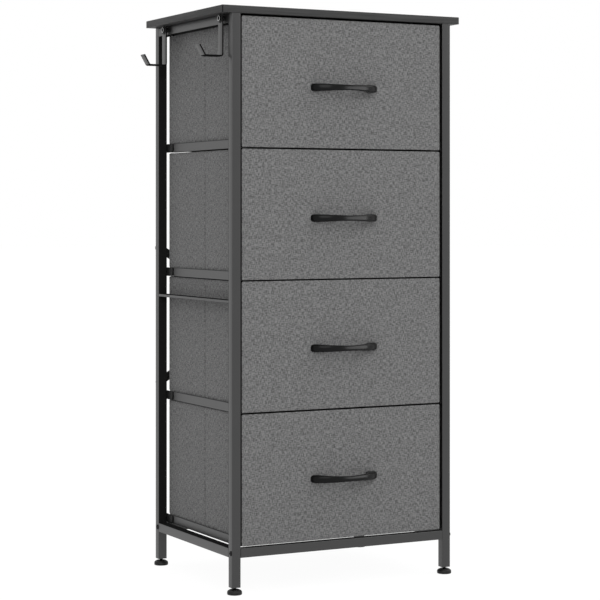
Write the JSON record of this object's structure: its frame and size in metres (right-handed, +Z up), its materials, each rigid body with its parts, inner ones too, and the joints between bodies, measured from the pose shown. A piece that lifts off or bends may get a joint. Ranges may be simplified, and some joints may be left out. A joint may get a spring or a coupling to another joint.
{
  "type": "fabric drawer dresser",
  "caption": "Tall narrow dresser: steel tube frame with a wooden top, stacked fabric drawers with bow handles on angle rails, levelling feet and side hooks.",
  "frame": {"origin": "the middle of the whole footprint, hooks and handles included, on the floor", "axes": "+X to the dresser's right seen from the front, -Y towards the person who opens the drawers, +Z up"},
  "size_m": [0.4802, 0.3432, 0.955],
  "materials": {
    "board": "fibreboard under a dark wood-grain foil, matt",
    "steel": "dark grey powder coat, satin",
    "bolt": "blackened steel, satin",
    "foot": "black moulded plastic, matt",
    "fabric": "grey linen-look weave",
    "base": "board covered with grey non-woven cloth",
    "handle": "black moulded plastic, satin gloss",
    "screw": "zinc-plated steel"
  },
  "bodies": {
    "frame": {"top_board": "board", "left_top_bar": "steel", "left_bottom_bar": "steel", "left_middle_bar": "steel", "right_top_bar": "steel", "right_bottom_bar": "steel", "right_middle_bar": "steel", "front_left_post": "steel", "front_right_post": "steel", "rear_left_post": "steel", "rear_right_post": "steel", "front_bottom_bar": "steel", "rear_bottom_bar": "steel", "left_rail_1": "steel", "left_rail_2": "steel", "left_rail_3": "steel", "left_rail_4": "steel", "right_rail_1": "steel", "right_rail_2": "steel", "right_rail_3": "steel", "right_rail_4": "steel", "rising_brace": "steel", "falling_brace": "steel", "brace_rivet": "bolt", "front_left_frame_bolt": "bolt", "front_right_frame_bolt": "bolt", "rear_left_frame_bolt": "bolt", "rear_right_frame_bolt": "bolt", "front_hook": "steel", "rear_hook": "steel", "front_hook_screw": "bolt", "rear_hook_screw": "bolt"},
    "drawer_1": {"drawer_1_bin": "fabric", "drawer_1_front_panel": "fabric", "drawer_1_base_board": "base", "drawer_1_handle": "handle", "drawer_1_left_screw": "screw", "drawer_1_right_screw": "screw"},
    "drawer_2": {"drawer_2_bin": "fabric", "drawer_2_front_panel": "fabric", "drawer_2_base_board": "base", "drawer_2_handle": "handle", "drawer_2_left_screw": "screw", "drawer_2_right_screw": "screw"},
    "drawer_3": {"drawer_3_bin": "fabric", "drawer_3_front_panel": "fabric", "drawer_3_base_board": "base", "drawer_3_handle": "handle", "drawer_3_left_screw": "screw", "drawer_3_right_screw": "screw"},
    "drawer_4": {"drawer_4_bin": "fabric", "drawer_4_front_panel": "fabric", "drawer_4_base_board": "base", "drawer_4_handle": "handle", "drawer_4_left_screw": "screw", "drawer_4_right_screw": "screw"},
    "front_left_foot": {"front_left_levelling_foot": "foot"},
    "front_right_foot": {"front_right_levelling_foot": "foot"},
    "rear_left_foot": {"rear_left_levelling_foot": "foot"},
    "rear_right_foot": {"rear_right_levelling_foot": "foot"}
  },
  "joints": [
    {"name": "drawer_1_slide", "type": "slide", "parent": "frame", "child": "drawer_1", "axis": [0, -1, 0], "range_m": [0, 0.24]},
    {"name": "drawer_2_slide", "type": "slide", "parent": "frame", "child": "drawer_2", "axis": [0, -1, 0], "range_m": [0, 0.24]},
    {"name": "drawer_3_slide", "type": "slide", "parent": "frame", "child": "drawer_3", "axis": [0, -1, 0], "range_m": [0, 0.24]},
    {"name": "drawer_4_slide", "type": "slide", "parent": "frame", "child": "drawer_4", "axis": [0, -1, 0], "range_m": [0, 0.24]},
    {"name": "front_left_foot_thread", "type": "slide", "parent": "frame", "child": "front_left_foot", "axis": [0, 0, -1], "range_m": [-0.002, 0.008]},
    {"name": "front_right_foot_thread", "type": "slide", "parent": "frame", "child": "front_right_foot", "axis": [0, 0, -1], "range_m": [-0.002, 0.008]},
    {"name": "rear_left_foot_thread", "type": "slide", "parent": "frame", "child": "rear_left_foot", "axis": [0, 0, -1], "range_m": [-0.002, 0.008]},
    {"name": "rear_right_foot_thread", "type": "slide", "parent": "frame", "child": "rear_right_foot", "axis": [0, 0, -1], "range_m": [-0.002, 0.008]}
  ]
}
